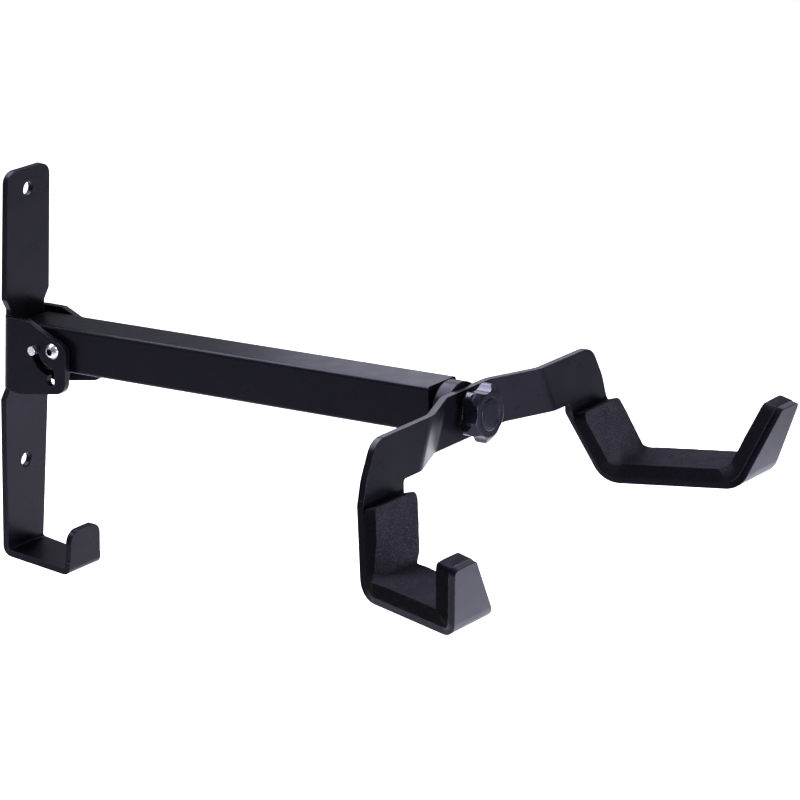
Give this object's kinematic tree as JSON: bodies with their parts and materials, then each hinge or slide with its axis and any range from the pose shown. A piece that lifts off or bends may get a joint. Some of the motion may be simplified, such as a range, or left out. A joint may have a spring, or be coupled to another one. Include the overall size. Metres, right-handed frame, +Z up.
{
  "type": "folding wall bicycle hanger",
  "caption": "Wall bracket with a square arm that folds up, two foam-lined hooks on a bent cross bar, a clamp knob and a small hook below.",
  "frame": {"origin": "on the wall plane, midway between the two wall screw holes", "axes": "+X along the wall, +Y into the wall, +Z up; the arm reaches towards -Y"},
  "size_m": [0.5126, 0.638, 0.3565],
  "materials": {
    "black_powder_coat": "satin powder coat",
    "zinc_steel": "bright zinc",
    "spring_steel": "dark",
    "black_nylon": "matte",
    "black_rubber": "matte",
    "black_foam": "matte closed-cell foam",
    "black_knob_plastic": "satin",
    "brass_insert": "machined"
  },
  "bodies": {
    "bracket": {"wall_plate": "black_powder_coat", "pivot_bolt": "zinc_steel", "nut_washer": "zinc_steel", "pivot_nut": "zinc_steel"},
    "arm": {"arm_tube": "black_powder_coat", "pivot_sleeve": "zinc_steel", "side_washer_left": "black_nylon", "side_washer_right": "black_nylon", "lock_pin": "zinc_steel", "pin_clip_left": "spring_steel", "pin_clip_right": "spring_steel", "end_plate": "black_powder_coat", "swivel_disc": "black_powder_coat", "friction_washer": "black_rubber", "clamp_bolt": "zinc_steel"},
    "cradle": {"cradle_bar": "black_powder_coat", "pad_left": "black_foam", "pad_right": "black_foam"},
    "knob_carrier": {"knob_washer": "zinc_steel"},
    "knob": {"knob_body": "black_knob_plastic", "knob_insert": "brass_insert", "knob_cap": "black_knob_plastic"}
  },
  "joints": [
    {"name": "arm_fold", "type": "hinge", "parent": "bracket", "child": "arm", "pos_m": [0, -0.0575, -0.0055], "axis": [-1, 0, 0], "range_deg": [0, 78]},
    {"name": "cradle_tilt", "type": "hinge", "parent": "arm", "child": "cradle", "pos_m": [0, -0.47197, 0.02906], "axis": [0, -0.9962, 0.0872], "range_deg": [-30, 30]},
    {"name": "knob_travel", "type": "slide", "parent": "arm", "child": "knob_carrier", "axis": [0, -0.9962, 0.0872], "range_m": [0, 0.0025]},
    {"name": "knob_turn", "type": "hinge", "parent": "knob_carrier", "child": "knob", "pos_m": [0, -0.48601, 0.03028], "axis": [0, -0.9962, 0.0872], "range_deg": [0, 720]}
  ],
  "couplings": [
    {"joint": "knob_turn", "follows": "knob_travel", "rad_per_m": 5026.5}
  ]
}
